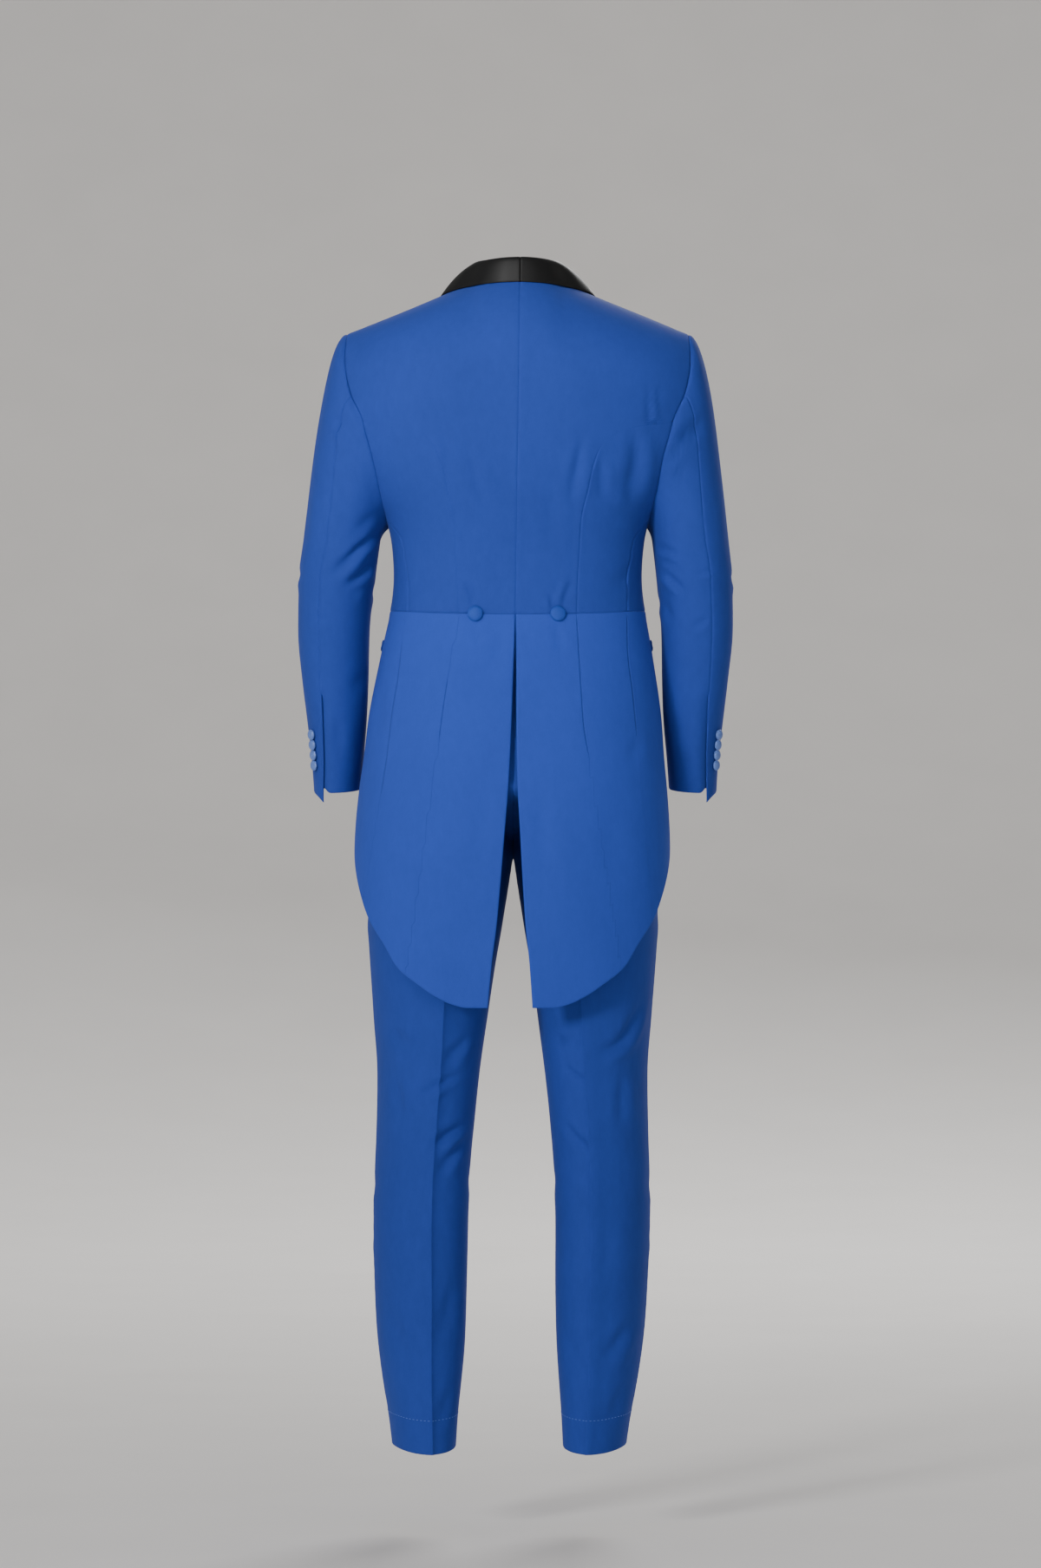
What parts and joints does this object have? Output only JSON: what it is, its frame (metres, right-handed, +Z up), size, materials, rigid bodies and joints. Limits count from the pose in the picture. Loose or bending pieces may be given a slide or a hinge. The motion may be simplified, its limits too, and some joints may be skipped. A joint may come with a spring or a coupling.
{
  "type": "tailcoat tuxedo, worn form, coat and trousers",
  "caption": "Hollow worn suit of a tailcoat with a shawl collar and cutaway skirt, and tapered trousers with pressed creases.",
  "frame": {"origin": "middle of the coat's neck opening, at the height where the shoulders meet the neck", "axes": "+Z up, -Y to the wearer's front, +X to the wearer's left"},
  "size_m": [0.5622, 0.2965, 1.528],
  "materials": {
    "blue_wool": "fine blue worsted wool, matt with a faint sheen",
    "black_satin": "black satin weave, soft gloss",
    "covered_button": "domed button covered in the coat's cloth",
    "satin_button": "domed button covered in lighter blue satin"
  },
  "bodies": {
    "root": {"back_left": "blue_wool", "back_right": "blue_wool", "side_body_left": "blue_wool", "side_body_right": "blue_wool", "front_left": "blue_wool", "front_right": "blue_wool", "skirt_left": "blue_wool", "skirt_right": "blue_wool", "shawl_left": "black_satin", "shawl_right": "black_satin", "top_sleeve_left": "blue_wool", "top_sleeve_right": "blue_wool", "under_sleeve_left": "blue_wool", "under_sleeve_right": "blue_wool", "hip_welt_left": "blue_wool", "hip_welt_right": "blue_wool", "back_waist_button_left": "covered_button", "back_waist_button_right": "covered_button", "front_button": "covered_button", "cuff_button_left_1": "satin_button", "cuff_button_left_2": "satin_button", "cuff_button_left_3": "satin_button", "cuff_button_left_4": "satin_button", "cuff_button_right_1": "satin_button", "cuff_button_right_2": "satin_button", "cuff_button_right_3": "satin_button", "cuff_button_right_4": "satin_button", "leg_back_left": "blue_wool", "leg_back_right": "blue_wool", "leg_front_left": "blue_wool", "leg_front_right": "blue_wool", "waistband_left": "blue_wool", "waistband_right": "blue_wool", "fly_front": "blue_wool"}
  },
  "joints": []
}
